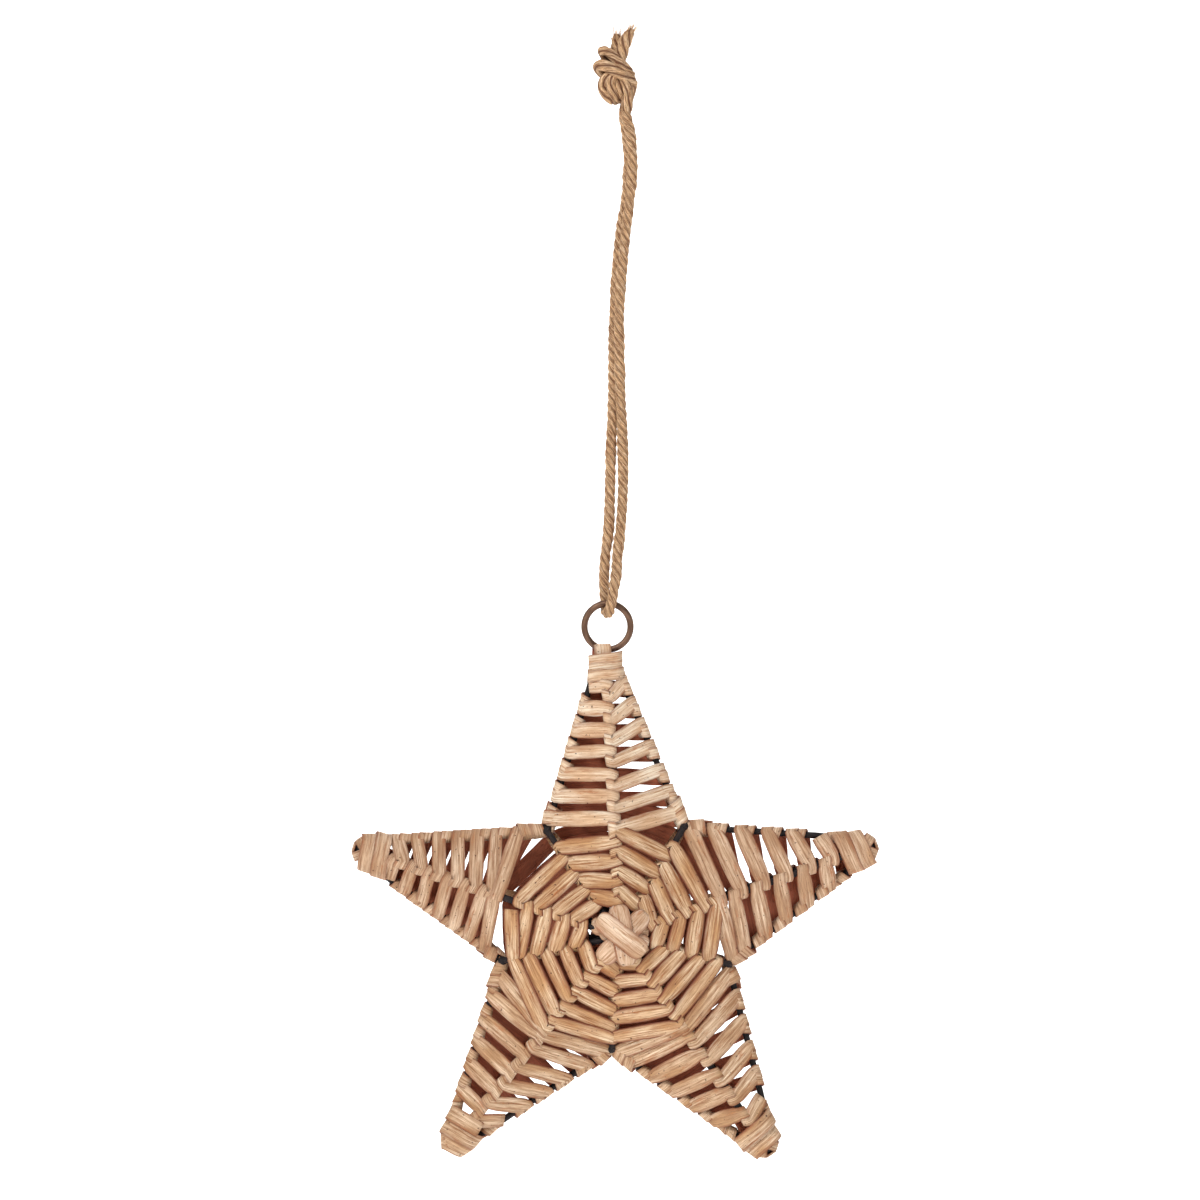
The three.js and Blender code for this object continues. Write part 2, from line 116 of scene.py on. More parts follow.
def ring_faces(rows, columns):
    """Four-sided faces between row i and i + 1, where the last column meets the first."""
    i, j = np.meshgrid(np.arange(rows - 1), np.arange(columns), indexing="ij")
    here, beside = i * columns + j, i * columns + (j + 1) % columns
    return np.stack([here, beside, beside + columns, here + columns], -1).reshape(-1, 4)


def facing_out(points, faces, ends):
    """The faces and ends, turned round if they face inwards: then the sum of p . (q x r) over
    all triangles, which is six times the signed volume, is negative."""
    p, q, r, s = (points[faces[:, k]] for k in range(4))
    volume = np.sum(p * np.cross(q, r)) + np.sum(p * np.cross(r, s))
    for end in ends:
        fan = points[end]
        volume += np.sum(fan[:1] * np.cross(fan[1:-1], fan[2:]))
    if volume >= 0:
        return faces, ends
    return faces[:, ::-1], [end[::-1] for end in ends]


def make_piece(name, grids, finish, stands_for=()):
    """One object from several grids of points in mm. Each comes with a pattern vector at every
    point, and with True where its last row meets its first, so that it has no ends to close."""
    points, patterns, faces, count = [], [], [], 0
    for grid, pattern, loops in grids:
        rows, columns = grid.shape[:2]
        flat = grid.reshape(-1, 3)
        quads = ring_faces(rows, columns)
        ends = [np.arange(columns)[::-1], np.arange(columns) + (rows - 1) * columns]
        if loops:
            seam = np.arange(columns) + (rows - 1) * columns
            across = np.stack([seam, np.roll(seam, -1), np.roll(np.arange(columns), -1),
                               np.arange(columns)], -1)
            quads, ends = np.concatenate([quads, across]), []
        quads, ends = facing_out(flat - flat.mean(0), quads, ends)
        faces += (quads + count).tolist() + [(end + count).tolist() for end in ends]
        points.append(flat)
        patterns.append(pattern.reshape(-1, 3))
        count += len(flat)
    mesh = bpy.data.meshes.new(name)
    mesh.from_pydata((np.concatenate(points) * MM).tolist(), [], faces)
    mesh.polygons.foreach_set("use_smooth", np.ones(len(faces), bool))
    layer = mesh.attributes.new(PATTERN, "FLOAT_VECTOR", "POINT")
    layer.data.foreach_set("vector", np.concatenate(patterns).astype(np.float32).ravel())
    mesh.materials.append(finish)
    piece = add_object(name, mesh)
    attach(piece, "root")
    if stands_for:
        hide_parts(*stands_for)
    print(f"{name}: {len(faces)} faces")
    return piece


# %% [markdown]
# ## Sums between sockets
# A shader's pattern is a formula, and a formula reads best as one. The class below wraps
# a socket, so that `1 - mask * 0.5` adds the Math nodes by itself. One method makes all
# other nodes: their settings come first, because they decide which sockets there are.

# %% Shader maths
class Field:
    """A value that changes over a surface."""

    def __init__(self, finish, socket):
        self.finish, self.socket = finish, socket

    def maths(self, operation, *values):
        return self.finish.node("ShaderNodeMath", {"operation": operation}, dict(enumerate(values)))

    def __add__(self, other):
        return self.maths("ADD", self, other)

    def __sub__(self, other):
        return self.maths("SUBTRACT", self, other)

    def __rsub__(self, other):
        return self.maths("SUBTRACT", other, self)

    def __mul__(self, other):
        return self.maths("MULTIPLY", self, other)

    def __pow__(self, other):
        return self.maths("POWER", self, other)

    def __abs__(self):
        return self.maths("ABSOLUTE", self)

    __radd__ = __add__
    __rmul__ = __mul__

    def above(self, level, sharpness):
        """0 below the level, then rising by the sharpness to 1."""
        rise = (self - level) * sharpness
        rise.socket.node.use_clamp = True
        return rise


class Finish:
    """A material whose Principled shader is fed by fields."""

    def __init__(self, name, **shader):
        self.material = bpy.data.materials.new(name)
        self.material.use_nodes = True
        self.tree = self.material.node_tree
        self.tree.nodes.clear()
        self.surface = self.node("ShaderNodeBsdfPrincipled", {}, {})
        self.shade(**shader)
        self.node("ShaderNodeOutputMaterial", {}, {"Surface": self.surface}, None)

    def node(self, kind, settings, sockets, output=0):
        made = self.tree.nodes.new(kind)
        for name, value in settings.items():
            setattr(made, name, value)
        for name, value in sockets.items():
            self.feed(made.inputs[name], value)
        return None if output is None else Field(self, made.outputs[output])

    def feed(self, socket, value):
        if isinstance(value, Field):
            self.tree.links.new(value.socket, socket)
        else:
            socket.default_value = value

    def shade(self, **values):
        for name, value in values.items():
            self.feed(self.surface.socket.node.inputs[name.replace("_", " ")], value)

    def pattern(self):
        """The three numbers that a piece keeps at every point."""
        whole = self.node("ShaderNodeAttribute", {"attribute_name": PATTERN}, {}, 1)
        parts = self.node("ShaderNodeSeparateXYZ", {}, {"Vector": whole})
        return [Field(self, socket) for socket in parts.socket.node.outputs]

    def noise(self, x, y, z, detail, roughness=0.55):
        place = self.node("ShaderNodeCombineXYZ", {}, {"X": x, "Y": y, "Z": z})
        return self.node("ShaderNodeTexNoise", {"noise_dimensions": "3D"},
                         {"Vector": place, "Scale": 1.0, "Detail": detail, "Roughness": roughness})

    def blend(self, share, first, second):
        """A colour between two, by the share of the second. The node's factor is socket 0, its
        colours are sockets 6 and 7, and its colour result is output 2."""
        return self.node("ShaderNodeMix", {"data_type": "RGBA", "clamp_factor": True},
                         {0: share, 6: first, 7: second}, 2)

    def bump(self, height, distance, strength=1.0):
        return self.node("ShaderNodeBump", {}, {"Height": height, "Distance": distance * MM,
                                                "Strength": strength})


def paint(red, green, blue):
    """A screen colour, 0 to 255, as the light it stands for: share ** 2.2."""
    return (*(np.array([red, green, blue]) / 255) ** 2.2, 1)


# %% [markdown]
# ## Split willow
# A split rod has a pale or golden outer face with fine grain along it, darker borders, brown
# stains and small knots, and a red-brown inner face. The dark brown at the borders is partly
# where the bark was cut and partly painted shade for the gaps between neighbouring strips.
# Every strip keeps three numbers at each point: how far along it is in mm, how far across it
# is from -1 to 1, and whether it is the inner face. Noise that is stretched along the strip
# makes the grain, so the grain turns with every band.

# %% Willow finish
def willow(name, light, mid, dark, seed, edge_stain_and_shade=0.55):
    """A willow finish from three colours of the outer face. The seed moves its noise, and
    the last number says how strongly its borders are coloured: with warm stain, and with dark
    brown that is partly the cut edge's own colour and partly painted shade between the strips."""
    finish = Finish(name, Roughness=0.7)
    along, across, inner = finish.pattern()
    layer = inner * 5 + seed
    tone = finish.noise(along * 0.05, across * 0.4, layer, 1.0)
    grain = finish.noise(along * 0.06, across * 3.6, layer + 11, 5.0, 0.7)
    fibre = finish.noise(along * 0.2, across * 12, layer + 23, 3.0)
    blotch = finish.noise(along * 0.1, across * 1.3, layer + 37, 4.0, 0.75)
    stain = (blotch + abs(across) ** 2 * 0.06).above(0.57, 7)
    speck = finish.noise(along * 0.8, across * 2.6, layer + 51, 1.0).above(0.7, 14)
    bark = finish.noise(along * 0.08, across * 0.8, layer + 71, 3.0).above(0.42, 4)
    border_stain_and_gap_shade = abs(across) ** 4
    warm = abs(across) ** 3 * bark
    colour = finish.blend(grain.above(0.34, 3.6), dark, mid)
    colour = finish.blend(tone.above(0.36, 4) * grain.above(0.4, 3.6), colour, light)
    colour = finish.blend(fibre.above(0.52, 6) * 0.6, colour, dark)
    colour = finish.blend(warm * edge_stain_and_shade, colour, paint(190, 116, 62))
    colour = finish.blend(stain * 0.65, colour, paint(178, 100, 50))
    colour = finish.blend(speck * 0.9, colour, paint(74, 42, 30))
    # Dark brown at the strip's borders: partly the cut edge's own colour, partly painted shade for
    # the gaps between neighbouring strips.
    colour = finish.blend(border_stain_and_gap_shade * (edge_stain_and_shade + bark * 0.4), colour, paint(112, 57, 32))
    backed = finish.blend(grain.above(0.3, 2.5), paint(150, 80, 55), paint(196, 114, 82))
    colour = finish.blend(inner, colour, backed)
    height = grain * 0.6 + fibre * 0.5 - stain * 0.2 - speck * 0.5
    finish.shade(Base_Color=colour, Roughness=0.5 + grain * 0.3,
                 Normal=finish.bump(height, 0.7))
    return finish.material


WILLOW_PALE = willow("willow_pale", paint(255, 244, 222), paint(232, 196, 158),
                     paint(178, 130, 94), 3)
# The lower arms' finish is the top arm's pale willow made darker and browner: painted shade for
# light that falls from above.
WILLOW_TAN_PAINTED_SHADE = willow("willow_tan_painted_shade", paint(252, 227, 197), paint(200, 156, 112),
                    paint(142, 97, 65), 30)
WILLOW_GREY = willow("willow_grey", paint(246, 218, 188), paint(197, 155, 117),
                     paint(148, 105, 75), 60)
# The centre's finish darkens its borders fully: partly cut-edge colour, partly painted shade in the
# gaps between the spiral's rings.
WILLOW_GOLDEN = willow("willow_golden", paint(255, 232, 198), paint(210, 162, 112),
                       paint(146, 92, 54), 90, 1.0)
WILLOW_CROSSED = willow("willow_crossed", paint(255, 232, 208), paint(216, 176, 138),
                        paint(168, 122, 88), 120)
print("willow finishes: 5")

# %% [markdown]
# ## The star's lines
# The frame is worked out from the same few sizes as the solids: how far every arm reaches
# and leans, where the inner corners lie, and how far the two points of the ribs stand out.
# A wire is a straight line with distances counted along the arm or from the rib point.
#
# A row of the table holds one arm: its reach and lean in degrees, the same two for the inner
# corner before it, its first turn and the pitch of the turns, how far the strip moves on
# before, on and after the front rib, how much of the tip is left free of the binding, the
# strip's width and its finish.

# %% Sizes
WIRE_RADIUS = 1.2
STRIP_WIDTH = 5.2
TURN_WIDTH = 4.8
SPIRAL_STRIPS = {-1: 6.4, 1: 7.8}
STRIP_THICKNESS = 0.7
RIB_OFFSET = 2.16
TIP_BEND_RADIUS = 4.0
TIP_COVER = 2.3
RING_SEAT = 6.7
ARMS = [
    dict(name="top", reach=109, lean=1, notch=43.6, notch_lean=-2.4, first=17.5, pitch=8.4,
         coming=-0.4, step=4.6, leaving=-6.1, bound=6.6, width=5.8, willow=WILLOW_PALE),
    dict(name="right", reach=106.4, lean=-0.9, notch=47, notch_lean=-0.5, first=18.2, pitch=9.3,
         coming=-2.7, step=3.6, leaving=1.5, bound=5.2, width=6.2, willow=WILLOW_GREY),
    dict(name="lower_right", reach=106.6, lean=-0.8, notch=46.9, notch_lean=0.4, first=17.1,
         pitch=9.1, coming=-4.2, step=3.8, leaving=2.7, bound=4.8, width=6.6,
         willow=WILLOW_TAN_PAINTED_SHADE),
    dict(name="lower_left", reach=105.6, lean=0.2, notch=46.5, notch_lean=0.7, first=16.7,
         pitch=8.7, coming=-6.8, step=5.3, leaving=1.1, bound=1.7, width=6,
         willow=WILLOW_TAN_PAINTED_SHADE),
    dict(name="left", reach=102.7, lean=0.9, notch=42.9, notch_lean=-0.2, first=17.1, pitch=7.1,
         coming=-0.4, step=3.7, leaving=-4.9, bound=5, width=5.5,
         willow=WILLOW_GREY),
]
EDGE_STEP = 4.0
BACK_RIDGE_STEP = 4.2
SPIRAL_RADIUS = 15.4
SPIRAL_PITCH = 7.2
SPIRAL_STEP = 4.2
SPIRAL_DRIFT = 2.6
SPIRAL_FIRST = -7
SPIRAL_LAST = {-1: 38, 1: 42}
RING_CENTRE = np.array([-7.8, 0, -195.5])
RING_RADIUS = 8.75
RING_WIRE_RADIUS = 1.25
STAR_CENTRE = np.array([-6.7, 0, -309.3])
APEX_SHIFT = np.array([3.6, 18, -2.8])


# %% Places on the star
def in_plane(degrees, distance):
    """distance (cos a, 0, sin a), in the plane of the picture."""
    angle = np.radians(degrees)
    return np.array([distance * np.cos(angle), 0.0, distance * np.sin(angle)])


def arm_angle(index):
    """Arms are 72 degrees apart, clockwise from the top, each with a lean of its own."""
    return 90 - 72 * index + ARMS[index]["lean"]


def notch_point(index):
    """The inner corner half way from an arm to the arm before it."""
    arm = ARMS[index % 5]
    return STAR_CENTRE + in_plane(126 - 72 * (index % 5) + arm["notch_lean"], arm["notch"])


def wire_tip(index):
    """The end of the outline wire's middle line. Wire and willow cover the rest of the reach."""
    cover = RING_SEAT if index == 0 else TIP_COVER
    return STAR_CENTRE + in_plane(arm_angle(index), ARMS[index]["reach"] - cover)


def apex(side):
    """The point where ten ribs meet, in front for side -1 and behind for side 1."""
    return STAR_CENTRE + APEX_SHIFT * [1, side, 1]


def rib_end(number, side):
    """Even ribs end at the tips, odd ones at the inner corners."""
    index = number // 2 % 5
    end = wire_tip(index) if number % 2 == 0 else notch_point(index + 1)
    return end + [0, side * RIB_OFFSET, 0]


class Wire:
    """A straight wire; a distance counts along a line that starts at an origin."""

    def __init__(self, start, end, origin, line):
        self.start, self.end = start, end
        self.first, self.last = (start - origin) @ line, (end - origin) @ line
        self.direction = unit(end - start)

    def at(self, distance):
        share = (np.asarray(distance, float) - self.first) / (self.last - self.first)
        return self.start + (self.end - self.start) * share[..., None]


def rib(number, side):
    """A rib, with distances counted in the plane of the picture from the point of the ribs."""
    start, end = apex(side), rib_end(number, side)
    return Wire(start, end, start, unit((end - start) * [1, 0, 1]))


print("star: centre", STAR_CENTRE, "points of the ribs at", apex(-1), apex(1))

# %% [markdown]
# ## A strip along a path
# A willow strip is a flat band with a slightly crowned face. Its outline is a closed loop
# of twenty points across the strip. It is carried along the path by three directions at
# each place: along the strip, across it, and out of its face. The strip is rolled a few
# degrees, so that one border lies on the strip before it, as tiles do on a roof.

# %% Strips
OUTLINE_ACROSS = np.array([-1, -0.99, -0.95, -0.88, -0.45, 0, 0.45, 0.88, 0.95, 0.99,
                           1, 0.99, 0.95, 0.88, 0.45, 0, -0.45, -0.88, -0.95, -0.99])
OUTLINE_HEIGHT = np.array([0, 0.3, 0.42, 0.46, 0.52, 0.54, 0.52, 0.46, 0.42, 0.3,
                           0, -0.3, -0.42, -0.46, -0.46, -0.46, -0.46, -0.46, -0.42, -0.3])
OUTLINE_INNER = (np.arange(20) > 10).astype(float)


def wander(length, spacing, amount, rng):
    """A slow random curve: random heights every so many mm, joined smoothly."""
    knots = np.arange(-spacing, length[-1] + 2 * spacing, spacing)
    heights = rng.uniform(-1, 1, len(knots)) * amount
    place = (length - knots[0]) / spacing
    before = np.floor(place).astype(int)
    share = place - before
    ease = share * share * (3 - 2 * share)
    return heights[before] * (1 - ease) + heights[before + 1] * ease


def strip(path, outward, onward, rng, width=STRIP_WIDTH, roll=6.0, waist=1.0):
    """Point = path + a w/2 across + h t out, for the outline's a and h. Across is the onward
    direction made square to the path; out is square to both, on the outward side."""
    travel = unit(np.gradient(path, axis=0))
    across = unit(onward - travel * np.sum(onward * travel, 1, keepdims=True))
    out = np.cross(travel, across)
    out *= np.sign(np.sum(out * outward, 1, keepdims=True))
    length = run_length(path)
    angle = np.radians(roll + wander(length, 22, 3.0, rng))[:, None]
    tilted = across * np.cos(angle) - out * np.sin(angle)
    raised = out * np.cos(angle) + across * np.sin(angle)
    uneven = 1 + wander(length, 17, 0.08, rng) + wander(length, 3, 0.03, rng)
    half = (width / 2 * uneven * waist)[:, None, None]
    grid = (path[:, None] + tilted[:, None] * half * OUTLINE_ACROSS[None, :, None]
            + raised[:, None] * STRIP_THICKNESS * OUTLINE_HEIGHT[None, :, None])
    pattern = np.stack(np.broadcast_arrays(length[:, None] + rng.uniform(0, 4000),
                                           OUTLINE_ACROSS, OUTLINE_INNER), -1)
    return grid, pattern, False


# %% [markdown]
# ## Winding a strip from wire to wire
# The strip runs flat from one wire to the next, goes once right round that wire and moves
# on, as in a god's eye. On a wire it follows a helix: the face's direction turns about
# the wire by a full turn and the angle between the two facets, while the place moves on by
# one step. Nothing is copied from band to band, so each facet gets its own slope and
# every turn lies beside the turn before it. Some turns are drawn tighter than others, which
# makes the star's edges bumpy.

# %% Winding
WRAP_RADIUS = WIRE_RADIUS + STRIP_THICKNESS / 2 + 0.2
TURN_SAMPLES = 22
FLAT_SAMPLES = 9
BOW = (-0.1, 0.35)
LOOSEST_TURN = 0.75


def facet_normal(wire, run, outward):
    """Square to the wire and to the run of the band, on the outward side."""
    normal = unit(np.cross(wire.direction, run))
    return normal * np.sign(normal @ outward)


def wound(crossings, centre_of, rng, width, waist):
    """A strip over many wires. A crossing is a wire with the distances at which the strip
    arrives and leaves; centre_of gives a point inside, which the faces look away from. A
    turn pulls the strip narrow, by the waist; between wires it has its full width."""
    runs = []
    for (wire, _, leaves), (after, arrives, _) in zip(crossings, crossings[1:]):
        start, end = wire.at(leaves), after.at(arrives)
        outward = (start + end) / 2 - centre_of((start + end) / 2)
        runs.append((start, end, facet_normal(wire, end - start, outward),
                     facet_normal(after, end - start, outward)))
    path, faces, onward, narrow = [], [], [], []
    share = np.linspace(0, 1, FLAT_SAMPLES)[1:-1, None]
    turn = np.linspace(0, 1, TURN_SAMPLES)[:, None]
    for number, (start, end, first, last) in enumerate(runs):
        wire, after = crossings[number][0], crossings[number + 1][0]
        bow = np.sin(np.pi * share) * rng.uniform(*BOW)
        normal = unit(first + (last - first) * share)
        path.append(start + (end - start) * share + normal * (WRAP_RADIUS + bow))
        faces.append(normal)
        onward.append(unit(wire.direction + (after.direction - wire.direction) * share))
        narrow.append(waist + (1 - waist) * np.sin(np.pi * share[:, 0]) ** 0.35)
        if number + 1 == len(runs):
            break
        _, arrives, leaves = crossings[number + 1]
        leaving_normal = runs[number + 1][2]
        axis = after.direction * np.sign(np.cross(after.direction, last) @ (end - start))
        between = np.arctan2(np.cross(last, leaving_normal) @ axis, last @ leaving_normal)
        total = 2 * np.pi + (between if between > -2 else between + 2 * np.pi)
        normal = last * np.cos(total * turn) + np.cross(axis, last) * np.sin(total * turn)
        loose = WRAP_RADIUS + rng.uniform(0, LOOSEST_TURN) * np.sin(np.pi * turn) ** 2
        path.append(after.at((arrives + (leaves - arrives) * turn)[:, 0]) + normal * loose)
        faces.append(normal)
        onward.append(np.broadcast_to(after.direction, normal.shape))
        narrow.append(np.full(TURN_SAMPLES, waist))
    path, faces, onward, narrow = (np.concatenate(part) for part in (path, faces, onward, narrow))
    return strip(path, faces, onward, rng, width, waist=narrow)


# %% [markdown]
# ## The centre's spiral
# On each side one strip starts near the point of the ribs and runs clockwise round all
# ten of them, always a little further out. Its radius grows by one pitch a turn, and the
# rings sit a little to the left, as on the real star. The strip at the back is broader, so
# that its red-brown inner face fills most of the gaps that are seen from the front.

# %% Spiral
SPIRAL_WAIST = 0.76
SPIRAL_UNEVEN = 0.35
RIB_END_MARGIN = 4.6


def spiral_radius(tenths):
    """First radius + a tenth of a pitch for each rib passed - drift times cos a."""
    angle = np.radians(90 - 36 * tenths)
    return SPIRAL_RADIUS + SPIRAL_PITCH * tenths / 10 - SPIRAL_DRIFT * np.cos(angle)


def spiral(side, rng, width):
    """One crossing a rib, ten a turn, each at the spiral's radius give or take a little."""
    ribs = [rib(number, side) for number in range(10)]
    crossings = []
    for tenths in range(SPIRAL_FIRST, SPIRAL_LAST[side] + 1):
        wire = ribs[tenths % 10]
        place = spiral_radius(tenths) + rng.uniform(-SPIRAL_UNEVEN, SPIRAL_UNEVEN)
        limit = wire.last - RIB_END_MARGIN
        crossings.append((wire, min(place - SPIRAL_STEP / 2, limit),
                          min(place + SPIRAL_STEP / 2, limit)))
    return wound(crossings, lambda place: place * [1, 0, 1], rng, width, SPIRAL_WAIST)


# %% [markdown]
# ## The rosette
# Short strips cross over the point where the ribs meet and hold it together. Each is laid
# on the one before, and its ends dip under the first ring of the spiral. They were split
# from a paler rod, so they are a piece with a finish of their own.

# %% Rosette
LAID_SAMPLES = 30


def crossing_strip(side, start, end, lift, width, rng):
    """A straight strip over the point of the ribs, from one place to another as offsets from
    that point. At a distance d from the point it stands lift - 0.1 d - 0.02 d^2 higher than
    over a wire, and near both ends it narrows to 0.55 of its width."""
    share = np.linspace(-0.08, 1.08, LAID_SAMPLES)[:, None]
    start, end = (np.array([-side * place[0], 0, place[1]]) for place in (start, end))
    flat = start * (1 - share) + end * share
    away = np.linalg.norm(flat, axis=1, keepdims=True)
    height = WIRE_RADIUS + 1.1 + lift - 0.1 * away - 0.02 * away ** 2
    outward = np.broadcast_to([0.0, side, 0.0], flat.shape)
    path = apex(side) + flat + outward * height
    onward = np.broadcast_to(np.cross(unit(flat[-1] - flat[0]), outward[0]), flat.shape)
    rounded = 1 - 0.45 * np.abs(np.linspace(-1, 1, LAID_SAMPLES)) ** 10
    return strip(path, outward, onward, rng, width, roll=0, waist=rounded)


ROSETTE = [((-9.2, 4), (9.2, 2.4), 0.1, 7.4), ((9.4, -2.6), (-6, 1.6), 0.7, 6.6),
           ((-6, -7.8), (8.6, 7.6), 1.4, 8.2), ((2.6, -9.2), (-0.6, 10.2), 2.1, 7.8),
           ((-7, 6.4), (7.8, -5.4), 2.9, 8)]

for side, label in ((-1, "front"), (1, "back")):
    rng = np.random.default_rng(20 + side)
    make_piece(f"willow_centre_{label}", [spiral(side, rng, SPIRAL_STRIPS[side])], WILLOW_GOLDEN,
               [f"centre_weave_{label}"])
    make_piece(f"willow_rosette_{label}", [crossing_strip(side, *laid, rng) for laid in ROSETTE],
               WILLOW_CROSSED)

# %% [markdown]
# ## The arms
# An arm has four wires: two edges, and a rib in front and behind. One strip goes round them
# all, turn after turn, from the tip towards the centre. Where the places on the four wires
# are known, the winding helper does the rest, so an arm is a list of crossings.

# %% Arm winding
CORNER_MARGIN = 1.8
SPIRAL_CLEARANCE = 4.4
ARM_UNEVEN = 0.45


def arm_lines(index):
    """The arm's four wires, with distances from the tip: coming edge, leaving edge, ribs."""
    inward = in_plane(arm_angle(index), -1)
    across = np.array([-inward[2], 0, inward[0]])
    tip = STAR_CENTRE - inward * ARMS[index]["reach"]
    bend = wire_tip(index) + inward * TIP_BEND_RADIUS
    lines = []
    for corner in (notch_point(index), notch_point(index + 1)):
        edge_side = np.sign((corner - tip) @ across)
        lines.append(Wire(bend + across * edge_side * TIP_BEND_RADIUS, corner, tip, inward))
    for side in (-1, 1):
        lines.append(Wire(rib_end(2 * index, side), apex(side), tip, inward))
    return tip, inward, across, lines


def arm_winding(index, rng):
    """Each ridge of the front rib lies one pitch after the one before. The strip comes to it
    from one edge, leaves it for the other, and returns behind, with what is left of the
    pitch shared by the two back facets. It stops beside the corners and the spiral."""
    arm = ARMS[index]
    tip, inward, _, (coming, leaving, front, back) = arm_lines(index)
    advance = arm["coming"] + arm["step"] + arm["leaving"]
    back_slant = (arm["pitch"] - advance - 2 * EDGE_STEP - BACK_RIDGE_STEP) / 2
    limit = {edge: edge.last - CORNER_MARGIN for edge in (coming, leaving)}
    for side, wire in ((-1, front), (1, back)):
        last_ring = SPIRAL_LAST[side] - (SPIRAL_LAST[side] - 2 * index) % 10
        limit[wire] = wire.last - spiral_radius(last_ring) - SPIRAL_CLEARANCE
    crossings, ridge = [], arm["first"]
    while ridge < limit[front] + arm["pitch"] / 2:
        place = ridge - arm["coming"] - EDGE_STEP
        for wire, step, slant in ((coming, EDGE_STEP, arm["coming"]),
                                  (front, arm["step"], arm["leaving"]),
                                  (leaving, EDGE_STEP, back_slant),
                                  (back, BACK_RIDGE_STEP, back_slant)):
            shift = rng.uniform(-ARM_UNEVEN, ARM_UNEVEN)
            crossings.append((wire, min(place + shift, limit[wire]),
                              min(place + step + shift, limit[wire] + step / 3)))
            place += step + slant
        ridge += arm["pitch"]

    def axis_point(place):
        return tip + inward * ((place - tip) @ inward)

    return wound(crossings, axis_point, rng, arm["width"], TURN_WIDTH / arm["width"])


# %% [markdown]
# ## The tips
# Near the tip the wires are too close for facets. Three short strips are folded over the
# bend of the outline wire, one straight over and two to the sides, and leave a small dark
# hole at the very end. Over them the strip binds the wires together in close oval turns.
# The top tip has no hole: one strip is lashed over the ring's wire instead.

# %% Tips
BINDING_SAMPLES = 44
BINDING_TOP = dict(gap=2.6, pitch=3.1, width=4.2, slack=1.2)
BINDING_REST = dict(gap=2.4, pitch=5.4, width=6.2, slack=1.7)
ROUND_END = 6.5
HALF_TURN = 90
CAPS = [(0, 4.2, 48), (38, 3.9, HALF_TURN), (-38, 3.9, HALF_TURN)]
LASHING_WIDTH = 6.2


def binding(index, rng, gap, pitch, width, slack):
    """Close turns: an oval (cos a, sin a) with both raised to the power 0.8, whose distance
    from the tip grows by one pitch a turn, up to a gap before the arm's first full turn. Near
    the tip both half axes follow its round end. The strip's across direction is the slope of
    that shape, so it leans over the end."""
    tip, inward, across, (coming, leaving, front, _) = arm_lines(index)
    start, stop = ARMS[index]["bound"], ARMS[index]["first"] - gap
    angle = np.linspace(0, 2 * np.pi * (stop - start) / pitch,
                        int(BINDING_SAMPLES * (stop - start) / pitch))
    along = start + pitch * angle / (2 * np.pi)
    end_half = np.linalg.norm(coming.at(stop) - leaving.at(stop)) / 2
    waves = np.cos(angle), np.sin(angle)
    cosine, sine = (np.sign(wave) * np.abs(wave) ** 0.8 for wave in waves)
    slack = slack + wander(along * 10, 25, 0.4, rng)

    def place(along):
        rounding = np.sqrt(1 - np.clip(1 - along / ROUND_END, 0, 0.995) ** 2) if index else 1
        half = (TIP_BEND_RADIUS + (end_half - TIP_BEND_RADIUS) * along / stop + slack) * rounding
        depth = (np.abs(front.at(along)[:, 1]) + slack + 0.3) * rounding
        side = across * (half * cosine)[:, None]
        return tip + inward * along[:, None] + side - DEPTH * (depth * sine)[:, None]

    path = place(along)
    outward = path - (tip + inward * (along + 1)[:, None])
    onward = unit(place(along + 0.4) - place(along - 0.4))
    return strip(path, outward, onward, rng, width, roll=9)


def cap(index, degrees, width, half_turn, rng):
    """A strip over the bend, at an angle from the arm's line. Place = bend centre + (R + r cos b)
    radial + h sin b depth, an oval round the wires; a whole half turn also runs straight in
    towards the middle, down the front and up the back."""
    _, inward, across, _ = arm_lines(index)
    angle = np.radians(degrees)
    radial = across * np.sin(angle) - inward * np.cos(angle)
    tangent = across * np.cos(angle) + inward * np.sin(angle)
    bend = np.radians(np.linspace(-half_turn, half_turn, 17))
    half_depth = RIB_OFFSET + WIRE_RADIUS + 0.35 - 0.01 * abs(degrees)
    out = TIP_BEND_RADIUS + WRAP_RADIUS * np.cos(bend)
    depth = half_depth * np.sin(bend)
    if half_turn == HALF_TURN:
        straight = np.linspace(0.6, TIP_BEND_RADIUS - 0.4, 6)
        out = np.concatenate([straight, out, straight[::-1]])
        depth = np.concatenate([np.full(6, -half_depth), depth, np.full(6, half_depth)])
    centre = wire_tip(index) + inward * TIP_BEND_RADIUS
    path = centre + radial * out[:, None] + DEPTH * depth[:, None]
    middle = centre + radial * (TIP_BEND_RADIUS - 1)
    return strip(path, path - middle, np.broadcast_to(tangent, path.shape), rng, width, roll=0)


def ring_lashing(rng):
    """A strip over the ring's wire: up in front, a half circle over the wire and down behind.
    The front leg leans out towards its foot, so that it lies on the binding."""
    tip = arm_lines(0)[0]
    wire_height = RING_CENTRE[2] - RING_RADIUS
    bend_radius = RING_WIRE_RADIUS + 0.55
    leg_length, lean, count = 9.5, 0.1, 7
    over = np.linspace(0, np.pi, 13)
    legs = np.linspace(-leg_length, -1, count)
    y = np.concatenate([np.full(count, -bend_radius - 0.9) + (legs + leg_length) * lean,
                        -bend_radius * np.cos(over), np.full(count, bend_radius)])
    z = wire_height + np.concatenate([legs, bend_radius * np.sin(over), legs[::-1]])
    path = np.stack([tip[0] - 1.4 - 0.25 * y, y, z], -1)
    middle = np.array([tip[0], 0, wire_height - 4])
    return strip(path, path - middle, np.broadcast_to(SIDEWAYS, path.shape), rng,
                 LASHING_WIDTH, roll=0)


